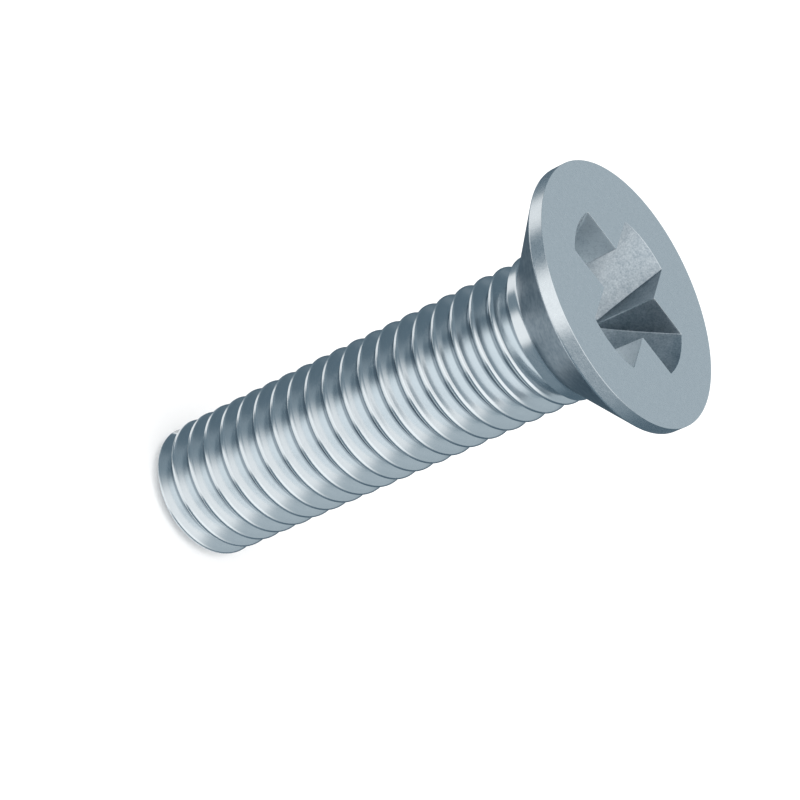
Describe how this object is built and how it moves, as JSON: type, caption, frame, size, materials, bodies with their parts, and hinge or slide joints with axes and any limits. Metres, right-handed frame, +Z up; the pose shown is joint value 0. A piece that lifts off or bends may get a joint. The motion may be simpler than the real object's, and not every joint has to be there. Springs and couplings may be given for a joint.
{
  "type": "countersunk machine screw",
  "caption": "Fully threaded countersunk machine screw with a flat head and a cross recess, standing on its flat chamfered end.",
  "frame": {"origin": "centre of the flat tip end, on the surface that the screw stands on", "axes": "+Z up along the screw's axis, from the tip to the head; the wings of the cross recess lie along X and Y"},
  "size_m": [0.0144, 0.0144, 0.03],
  "materials": {
    "zinc": "satin, blue-passivated zinc plating"
  },
  "bodies": {
    "root": {"screw": "zinc"}
  },
  "joints": []
}
